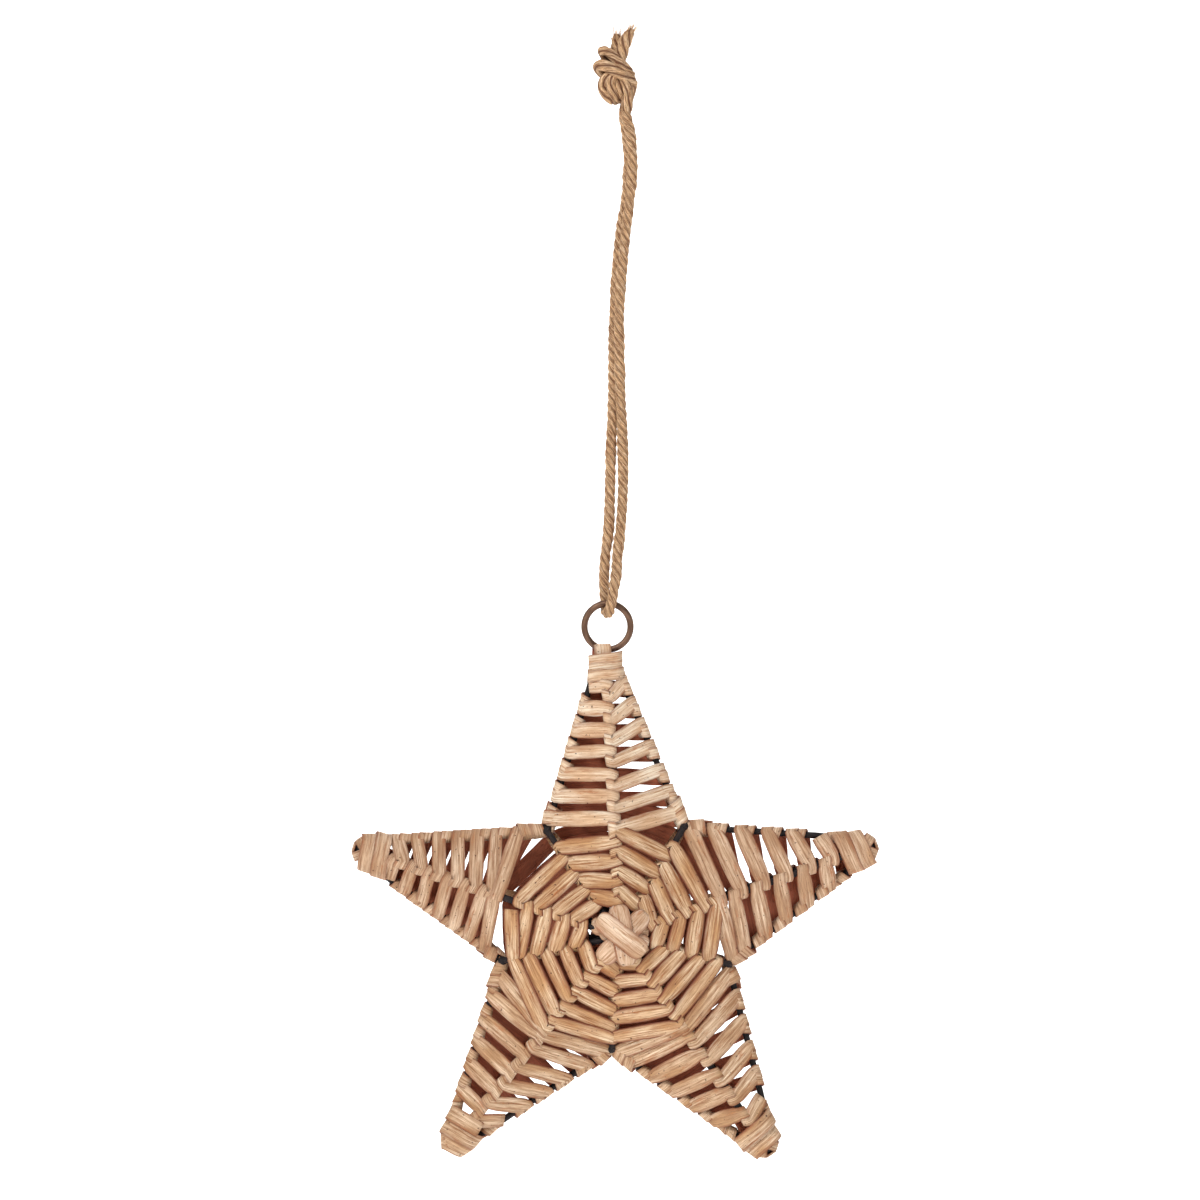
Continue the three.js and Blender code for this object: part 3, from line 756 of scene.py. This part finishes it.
# %% [markdown]
# ## The edges
# Between the tip and the first full turn, and again before each inner corner, the strip goes
# round an edge wire alone. Those turns are short sleeves, and the ones at the corners stand
# fuller. With them every piece of an arm is there, and the five arms can be made.

# %% Edges
SLEEVE_PITCH = 3.9
SLEEVE_SAMPLES = 24
SLEEVE_END = 1.6
SLEEVE_LEAD = 3
SLEEVE_GAP = 1.5
CLOSE, FULL = 0.1, 1.1
CORNER_SLEEVES = (6.2, 8.2)


def sleeve(edge, start, stop, loose, rng):
    """Turns round an edge wire alone: place on the wire + r normal, where the normal goes
    round while the place moves on by most of a strip's width a turn."""
    turns = max((stop - start) / SLEEVE_PITCH, 1)
    angle = np.linspace(0, 2 * np.pi * turns, int(SLEEVE_SAMPLES * turns))
    along = start + (stop - start) * angle / angle[-1]
    square = np.cross(edge.direction, -DEPTH)
    normal = square * np.sin(angle + 2)[:, None] - DEPTH * np.cos(angle + 2)[:, None]
    path = edge.at(along) + normal * (WRAP_RADIUS + loose - 0.03 * angle)[:, None]
    return strip(path, normal, np.broadcast_to(edge.direction, path.shape), rng, roll=8)


def edge_sleeves(index, rng):
    """The turns beside the binding and those beside the inner corners, which stand fuller."""
    arm = ARMS[index]
    coming, leaving = arm_lines(index)[3][:2]
    first_turns = (arm["first"] - arm["coming"] - EDGE_STEP,
                   arm["first"] + arm["step"] + arm["leaving"])
    made = [sleeve(edge, arm["first"] - SLEEVE_LEAD, place - SLEEVE_GAP, CLOSE, rng)
            for edge, place in zip((coming, leaving), first_turns)]
    made += [sleeve(edge, edge.last - SLEEVE_END - reach, edge.last - SLEEVE_END, FULL, rng)
             for edge, reach in zip((coming, leaving), CORNER_SLEEVES)]
    return made


for index, arm in enumerate(ARMS):
    rng = np.random.default_rng(40 + index)
    grids = [arm_winding(index, rng)]
    if index == 0:
        grids.append(binding(index, rng, **BINDING_TOP))
        grids.append(ring_lashing(rng))
    else:
        grids.append(binding(index, rng, **BINDING_REST))
        grids += [cap(index, *folded, rng) for folded in CAPS]
    grids += edge_sleeves(index, rng)
    make_piece(f"willow_arm_{arm['name']}", grids, arm["willow"],
               [f"arm_weave_{arm['name']}"])

# %% [markdown]
# ## The black wires
# The outline and the ribs are thick iron wire, blackened and rough. Each is a tube: a
# circle carried along a path. A fixed direction across the path is enough to keep the
# circle from twisting, because no wire turns towards that direction. The ribs end in a
# round plate on each side, and the wires are welded in a lump at each inner corner.

# %% Wires
WIRE_SIDES = 12
PITTING = 0.05
PLATE_DEPTH = 1.3
PLATE_RADII = np.array([3.4, 3.9, 4, 3.9, 3.4])[:, None]
WELD_DEPTH = 3.4
WELD_RADIUS = 2.1


def tube(path, radius, sides, aside):
    """Point = path + r (cos a aside + sin a square), with aside made square to the path."""
    first, second = square_to(path, aside)
    angle = 2 * np.pi * np.arange(sides) / sides
    radius = np.broadcast_to(radius, (len(path), sides))[..., None]
    grid = path[:, None] + radius * (first[:, None] * np.cos(angle)[:, None]
                                     + second[:, None] * np.sin(angle)[:, None])
    pattern = np.stack(np.broadcast_arrays(run_length(path)[:, None], np.cos(angle),
                                           np.sin(angle)), -1)
    return grid, pattern, False


def pitted_wire(path, rng):
    """A wire along a path, with a radius that varies at random, as scale and rust leave it."""
    radius = WIRE_RADIUS * (1 + rng.uniform(-PITTING, PITTING, (len(path), WIRE_SIDES)))
    return tube(path, radius, WIRE_SIDES, DEPTH)


def black_iron():
    """Black scale with paler patches and a little rust, rough all over."""
    finish = Finish("black_iron", Metallic=0.25)
    along, x, y = finish.pattern()
    scale = finish.noise(along * 0.5, x * 1.4, y * 1.4, 5.0, 0.7)
    rust = finish.noise(along * 0.12, x, y + 9, 3.0).above(0.6, 6)
    colour = finish.blend(scale.above(0.45, 3), paint(24, 19, 21), paint(62, 50, 48))
    colour = finish.blend(rust * 0.5, colour, paint(84, 52, 38))
    finish.shade(Base_Color=colour, Roughness=0.62 + scale * 0.3,
                 Normal=finish.bump(scale, 0.4, 0.8))
    return finish.material


wires = []
rng = np.random.default_rng(7)
for index in range(5):
    _, inward, across, _ = arm_lines(index)
    bend_centre = wire_tip(index) + inward * TIP_BEND_RADIUS
    start_side = np.sign((notch_point(index) - bend_centre) @ across)
    angle = np.linspace(-np.pi / 2, np.pi / 2, 17)[:, None]
    bend = bend_centre - inward * TIP_BEND_RADIUS * np.cos(angle) \
        - across * start_side * TIP_BEND_RADIUS * np.sin(angle)
    share = np.linspace(0, 1, 30)[:, None]
    start, end = notch_point(index), notch_point(index + 1)
    start = start + unit(start - bend[0]) * WIRE_RADIUS
    end = end + unit(end - bend[-1]) * WIRE_RADIUS
    path = np.concatenate([start + (bend[0] - start) * share[:-1], bend,
                           bend[-1] + (end - bend[-1]) * share[1:]])
    wires.append(pitted_wire(path, rng))
for side in (-1, 1):
    for number in range(10):
        start, end = apex(side), rib_end(number, side)
        share = np.linspace(0, 1, 40)[:, None]
        wires.append(pitted_wire(start + (end - start) * share, rng))
    plate = apex(side) + DEPTH * np.linspace(-PLATE_DEPTH, PLATE_DEPTH, 5)[:, None]
    wires.append(tube(plate, PLATE_RADII, 20, SIDEWAYS))
for index in range(5):
    weld = notch_point(index) + DEPTH * np.linspace(-WELD_DEPTH, WELD_DEPTH, 9)[:, None]
    bulge = WELD_RADIUS * np.sqrt(1 - np.linspace(-0.93, 0.93, 9) ** 2)[:, None]
    wires.append(tube(weld, bulge * (1 + rng.uniform(-0.08, 0.08, (9, 14))), 14, SIDEWAYS))
make_piece("black_wires", wires, black_iron(), ["wire_frame"])

# %% [markdown]
# ## The ring
# A closed ring of brown bronzed wire. Its lacquer is darker in blotches and rubbed lighter
# in others, so the roughness and the colour come from the same noise.

# %% Ring
def bronze():
    """Brown lacquer in darker and lighter blotches, with fine pale scratches."""
    finish = Finish("bronzed_ring", Metallic=0.6)
    turn, x, y = finish.pattern()
    blotch = finish.noise(turn * 1.2, x * 0.8, y * 0.8, 4.0)
    scratch = finish.noise(turn * 9, x * 2.5, y * 2.5, 4.0, 0.7)
    colour = finish.blend(blotch.above(0.35, 3), paint(84, 60, 48), paint(128, 98, 78))
    colour = finish.blend(scratch.above(0.6, 5) * 0.6, colour, paint(168, 136, 110))
    finish.shade(Base_Color=colour, Roughness=0.3 + blotch * 0.35,
                 Normal=finish.bump(scratch, 0.12, 0.7))
    return finish.material


turn = np.linspace(0, 2 * np.pi, 96, endpoint=False)
around = 2 * np.pi * np.arange(24) / 24
reach = RING_RADIUS + RING_WIRE_RADIUS * np.cos(around)
grid = RING_CENTRE + np.stack(np.broadcast_arrays(reach * np.cos(turn)[:, None],
                                                  RING_WIRE_RADIUS * np.sin(around),
                                                  reach * np.sin(turn)[:, None]), -1)
pattern = np.stack(np.broadcast_arrays(2 * np.cos(turn)[:, None] + 0 * around,
                                       2 * np.sin(turn)[:, None] + np.cos(around),
                                       np.sin(around) + 0 * turn[:, None]), -1)
make_piece("bronzed_ring", [(grid, pattern, True)], bronze(), ["hanging_ring"])

# %% [markdown]
# ## The cord
# The cord is four yarns of plant fibre laid into one. Its outline is the edge of four
# overlapping circles, and that outline turns as it is carried along the route, which makes
# the lay. The route is the same as that of the cord's solid: from the knot down,
# round the ring's top, and up again to the knot.

# %% Cord
CORD_DIAMETER = 3.8
CORD_LAY = 14.5
CORD_FULLNESS = 1.12
YARNS = 4
YARN_OFFSET = 0.46
YARN_RADIUS = 0.54
CORD_ROUTE = [
    (-0.0014, 0.0021, 0.0006), (-0.0014, 0.0021, -0.002), (-0.0004, 0.0021, -0.01),
    (0.0003, 0.0021, -0.02), (-0.0008, 0.0021, -0.033), (-0.0032, 0.002, -0.05),
    (-0.0049, 0.0019, -0.07), (-0.0055, 0.0018, -0.092), (-0.0056, 0.0016, -0.11),
    (-0.0064, 0.0008, -0.125), (-0.0068, 0.0004, -0.142), (-0.0073, 0.0006, -0.158),
    (-0.0085, 0.0014, -0.168), (-0.009, 0.0024, -0.175), (-0.009, 0.0033, -0.181),
    (-0.0087, 0.0035, -0.1866), (-0.0083, 0.0024, -0.1894), (-0.0077, 0, -0.1903),
    (-0.0071, -0.0024, -0.1894), (-0.0063, -0.0035, -0.1866), (-0.0053, -0.0033, -0.181),
    (-0.0044, -0.0024, -0.175), (-0.004, -0.0014, -0.168), (-0.0028, -0.0006, -0.158),
    (-0.0019, -0.0004, -0.142), (-0.0021, -0.0008, -0.125), (-0.0027, -0.0016, -0.11),
    (-0.0033, -0.002, -0.092), (-0.0031, -0.0021, -0.07), (-0.0013, -0.0021, -0.05),
    (0.0007, -0.0021, -0.033), (0.0016, -0.0021, -0.02), (0.0011, -0.0021, -0.01),
    (-0.0006, -0.0021, -0.002), (-0.0006, -0.0021, 0.0006),
]


def smooth_path(points, spacing):
    """A curve through the points, a Catmull-Rom cubic between each two, at equal spacing."""
    points = np.asarray(points, float)
    padded = np.concatenate([2 * points[:1] - points[1:2], points,
                             2 * points[-1:] - points[-2:-1]])
    s = np.linspace(0, 1, 24, endpoint=False)[None, :, None]
    a, b, c, d = (padded[k:len(points) - 1 + k, None] for k in range(4))
    dense = 0.5 * (2 * b + (c - a) * s + (2 * a - 5 * b + 4 * c - d) * s ** 2
                   + (3 * b - 3 * c + d - a) * s ** 3)
    dense = np.concatenate([dense.reshape(-1, 3), points[-1:]])
    length = run_length(dense)
    even = np.linspace(0, length[-1], max(4, int(length[-1] / spacing)))
    return np.stack([np.interp(even, length, dense[:, k]) for k in range(3)], -1), even


def rope(path, length, radius, aside, rng, lay=CORD_LAY):
    """Radius towards angle a from a yarn's middle = d cos a + sqrt(y^2 - d^2 sin^2 a), where
    the yarn's circle of radius y lies d off the centre. The yarns turn once in a lay."""
    first, second = square_to(path, aside)
    sides = 12 * YARNS
    angle = 2 * np.pi * np.arange(sides) / sides
    half = np.pi / YARNS
    from_yarn = (angle[None, :] + half) % (2 * half) - half
    beside = YARN_OFFSET * np.sin(from_yarn)
    edge = YARN_OFFSET * np.cos(from_yarn) + np.sqrt(YARN_RADIUS ** 2 - beside ** 2)
    radius = np.broadcast_to(np.asarray(radius, float), path.shape[:1])
    radius = (radius * (1 + wander(length, 6, 0.09, rng) + wander(length, 2, 0.05, rng)))[:, None]
    heading = angle - 2 * np.pi * length[:, None] / lay
    reach = (radius * edge)[..., None]
    grid = path[:, None] + reach * (first[:, None] * np.cos(heading)[..., None]
                                    + second[:, None] * np.sin(heading)[..., None])
    number = np.floor((angle + half) / (2 * half))
    pattern = np.stack(np.broadcast_arrays(length[:, None] + rng.uniform(0, 900),
                                           number * 7 + from_yarn, edge), -1)
    return grid, pattern, False


def plant_fibre(name, between):
    """A finish for twine, with between as how strongly painted shade darkens the furrows of the
    lay.
    """
    finish = Finish(name, Roughness=0.85)
    along, beside, edge = finish.pattern()
    fibre = finish.noise(along * 0.4, beside * 8, along * 0.02, 4.0, 0.7)
    clump = finish.noise(along * 0.25, beside * 1.4, 5.0, 2.0)
    # Painted shade: the furrows between the yarns, where the outline's radius is small, are
    # darkened.
    painted_furrow_shade = 1 - edge.above(0.76, 5)
    colour = finish.blend(fibre.above(0.4, 6), paint(122, 74, 44), paint(238, 192, 144))
    colour = finish.blend(clump.above(0.46, 4) * fibre.above(0.4, 4) * 0.8, colour,
                          paint(250, 224, 190))
    colour = finish.blend(painted_furrow_shade * between, colour, paint(104, 62, 40))
    finish.shade(Base_Color=colour, Roughness=0.75 + fibre * 0.2,
                 Normal=finish.bump(fibre, 0.8))
    return finish.material


# The knot's twine is the same fibre with its furrows fully darkened, a stronger painted shade than
# on the cord.
TWINE = plant_fibre("plant_fibre", 0.65)
KNOT_TWINE = plant_fibre("plant_fibre_knot", 1.0)
rng = np.random.default_rng(11)
route, route_length = smooth_path(np.array(CORD_ROUTE) / MM, 0.5)
cord_grid = rope(route, route_length, CORD_FULLNESS * CORD_DIAMETER / 2, SIDEWAYS, rng)
cord_piece = make_piece("laid_cord", [cord_grid], TWINE, ["hanging_cord"])
print("cord outside the knot:", round(route_length[-1]), "mm")

# %% [markdown]
# ## The knot
# Both strands are tied together in one overhand knot. What shows of it is modelled strand
# by strand: two turns that wrap round the front, the bulge of the loop on the left, the
# two strands that run down into the cord, and the two cut ends that stand up and fray.

# %% Knot
KNOT_SPACING = 0.4
KNOT_LAY = 38
TAIL_LAY = 20
WRAP_ASIDE = np.array([0.05, 0.1, 1.0])
RUN_ASIDE = np.array([1.0, 0.2, 0])
KNOT_RUNS = [
    ([(-0.6, -2.1, 0.4), (-0.3, -3, 3.5), (0, -3.6, 7.5), (-1, -3.4, 11.5), (-3, -2, 15)], 2.1),
    ([(-1.4, 2.1, 0.4), (-0.6, 2.4, 3.5), (0.8, 1.6, 7.5), (0.9, 0.8, 11.5), (-1, 1, 15)], 2.2),
    ([(1, 1, 11), (1, -1.5, 11.6), (-2, -3.7, 13.6), (-6, -3.9, 16), (-10, -2, 17.6),
      (-11, 0.8, 17), (-9, 3.4, 15), (-4, 4, 13), (0, 3, 11.5)], 2.4),
    ([(0.5, 1, 14.5), (0, -1.2, 15), (-3, -2.8, 18.4), (-7, -2.6, 22), (-9.4, -0.4, 23.2),
      (-9.2, 1.8, 22), (-6, 3.2, 19), (-1.5, 2.6, 16)], 2.1),
    ([(-6, -1.8, 14), (-8.8, -1.8, 12.5), (-9.8, -0.6, 9.8), (-8.6, 0, 7), (-6.2, 0.6, 4.9),
      (-4.2, 1.6, 5.6), (-4, 2.4, 9)], 2.1),
    ([(-5, -2.6, 13.5), (-6.6, -2.9, 10.5), (-6, -2.6, 7.6), (-4.7, -1.4, 5.6),
      (-3.4, 0.6, 5)], 1.9),
    ([(-6, 1, 14), (-8.2, 3, 11), (-6.5, 3.4, 7), (-4, 2.6, 5), (-2, 2, 6)], 2.0),
    ([(-3.6, -0.6, 15), (-3.6, -1.6, 11.5), (-3.0, -1.2, 8), (-2.2, 0.4, 5)], 2.1),
]
TAIL_RUNS = [
    ([(-3.6, -1.2, 17), (-2.6, -1.6, 21.5), (-1.9, -1.4, 24.5), (-0.4, -1.2, 28),
      (1.5, -1, 31.4)], 2.7),
    ([(-5, 1.4, 18), (-4.7, 1.6, 22), (-4.3, 1.8, 26), (-4.1, 1.8, 29.8)], 2.3),
]
rng = np.random.default_rng(12)
knot_grids = []
for points, radius in KNOT_RUNS:
    path, length = smooth_path(points, KNOT_SPACING)
    # A run that wraps across is too nearly parallel to RUN_ASIDE to be squared with it.
    goes_across = abs(points[0][0] - points[-3][0]) > 6
    aside = WRAP_ASIDE if goes_across else RUN_ASIDE
    knot_grids.append(rope(path, length, radius, aside, rng, lay=KNOT_LAY))
for points, radius in TAIL_RUNS:
    path, length = smooth_path(points, KNOT_SPACING)
    taper = radius * np.interp(length / length[-1], [0, 0.55, 0.85, 1], [0.9, 1.05, 0.9, 0.45])
    knot_grids.append(rope(path, length, taper, RUN_ASIDE, rng, lay=TAIL_LAY))
knot_piece = make_piece("tied_knot", knot_grids, KNOT_TWINE, ["cord_knot"])

# %% [markdown]
# ## Stray fibres
# Plant fibre cord is hairy, and its cut ends open into a brush. Each fibre is a thin
# tapered tube along a bent line; all of them are worked out in one array.

# %% Fibres
FRAY_COUNT = 46
HIGHEST_FIBRE = 34.2
HAIR_COUNT = 900


def fibres(roots, tips, bends, radius):
    """Place along a fibre = root + s (tip - root) + s (1 - s) bend, thinner towards the tip."""
    s = np.linspace(0, 1, 6)
    line = (roots[:, None] + (tips - roots)[:, None] * s[None, :, None]
            + bends[:, None] * (s * (1 - s))[None, :, None])
    travel = unit(tips - roots)
    first = unit(np.cross(travel, [0.31, 0.93, 0.17]))
    second = np.cross(travel, first)
    angle = 2 * np.pi * np.arange(3) / 3
    ring = first[:, None] * np.cos(angle)[:, None] + second[:, None] * np.sin(angle)[:, None]
    thin = radius * (1 - 0.8 * s)
    grids = line[:, :, None] + ring[:, None] * thin[None, :, None, None]
    pattern = np.broadcast_to([0.0, 0.0, 1.0], grids.shape[1:])
    return [(grid, pattern + [40.0 * number, 0, 0], False) for number, grid in enumerate(grids)]


rng = np.random.default_rng(13)
brush = []
for points, radius in TAIL_RUNS:
    points = np.array(points)
    end, heading = points[-1], unit(points[-1] - points[-2])
    spread = rng.normal(0, 1, (FRAY_COUNT, 3))
    spread -= (spread @ heading)[:, None] * heading
    roots = end - heading * rng.uniform(0.5, 5.5, (FRAY_COUNT, 1)) + spread * 0.75
    tips = (roots + heading * rng.uniform(2.2, 5.6, (FRAY_COUNT, 1))
            + spread * rng.uniform(0.1, 0.8, (FRAY_COUNT, 1)))
    tips[:, 2] = np.minimum(tips[:, 2], HIGHEST_FIBRE)
    brush += fibres(roots, tips, rng.normal(0, 0.6, (FRAY_COUNT, 3)), 0.2)
brush_piece = make_piece("frayed_ends", brush, TWINE)

place = rng.integers(4, len(route) - 4, HAIR_COUNT)
travel = unit(np.gradient(route, axis=0))[place]
spread = rng.normal(0, 1, (HAIR_COUNT, 3))
spread = unit(spread - travel * np.sum(spread * travel, 1, keepdims=True))
roots = route[place] + spread * 1.5
tips = (roots + travel * rng.uniform(-3, 3, (HAIR_COUNT, 1))
        + spread * rng.uniform(0.3, 1.1, (HAIR_COUNT, 1)))
hairs = fibres(roots, tips, spread * 0.8, 0.08)
hair_piece = make_piece("cord_hairs", hairs, TWINE)

# %% [markdown]
# ## Floor, backdrop and light
# The star hangs well above a pale floor that bends up into a backdrop, so no line
# shows behind it. Soft lamps and a white world keep the shadows faint, as in the
# picture; the main lamp stands to the upper left.

# %% Studio
FLOOR_LEVEL = -0.75
FLOOR_END = 2.4
STUDIO_REACH = 4
BEND_RADIUS = 0.9
COLUMNS = 9
bend = np.linspace(0.1, np.pi / 2, 14)
depth = np.concatenate([np.linspace(-STUDIO_REACH, FLOOR_END, 12),
                        FLOOR_END + BEND_RADIUS * np.sin(bend),
                        np.full(6, FLOOR_END + BEND_RADIUS)])
level = FLOOR_LEVEL + np.concatenate([np.zeros(12), BEND_RADIUS * (1 - np.cos(bend)),
                                      np.linspace(1.1, STUDIO_REACH, 6)])
side_line = np.linspace(-STUDIO_REACH, STUDIO_REACH, COLUMNS)
studio_points = np.stack(np.broadcast_arrays(side_line, depth[:, None], level[:, None]), -1)
i, j = np.meshgrid(np.arange(len(depth) - 1), np.arange(COLUMNS - 1), indexing="ij")
corner = i * COLUMNS + j
studio_faces = np.stack([corner, corner + 1, corner + COLUMNS + 1, corner + COLUMNS],
                        -1).reshape(-1, 4)
studio_mesh = bpy.data.meshes.new("studio")
studio_mesh.from_pydata(studio_points.reshape(-1, 3).tolist(), [], studio_faces.tolist())
studio_mesh.polygons.foreach_set("use_smooth", np.ones(len(studio_faces), bool))
studio_finish = Finish("studio_paper", Base_Color=(0.92, 0.92, 0.91, 1), Roughness=0.95,
                       Emission_Color=(1, 1, 0.995, 1), Emission_Strength=0.62)
studio_mesh.materials.append(studio_finish.material)
studio = add_object("studio", studio_mesh)


def soft_lamp(name, place, aim, width, power):
    """A square lamp, turned so that its own -Z axis points from its place to the aim."""
    data = bpy.data.lights.new(name, "AREA")
    data.size, data.energy = width, power
    lamp = add_object(name, data)
    lamp.location = place
    back = unit(np.array(place) - np.array(aim))
    lamp.rotation_euler = (np.arccos(back[2]), 0, np.arctan2(back[1], back[0]) + np.pi / 2)


middle = (-0.01, 0, -0.2)
soft_lamp("key", (-0.8, -1.4, 1.1), middle, 0.5, 32)
soft_lamp("fill", (1.3, -1.1, 0.1), middle, 1.2, 4)
soft_lamp("backdrop_light", (0, 1.4, 1.8), (0, 3.2, 0), 2.0, 50)
world = bpy.data.worlds.new("studio")
bpy.context.scene.world = world
world.use_nodes = True
world.node_tree.nodes["Background"].inputs["Color"].default_value = (1, 1, 1, 1)
world.node_tree.nodes["Background"].inputs["Strength"].default_value = 0.3
print("studio: 3 lamps")
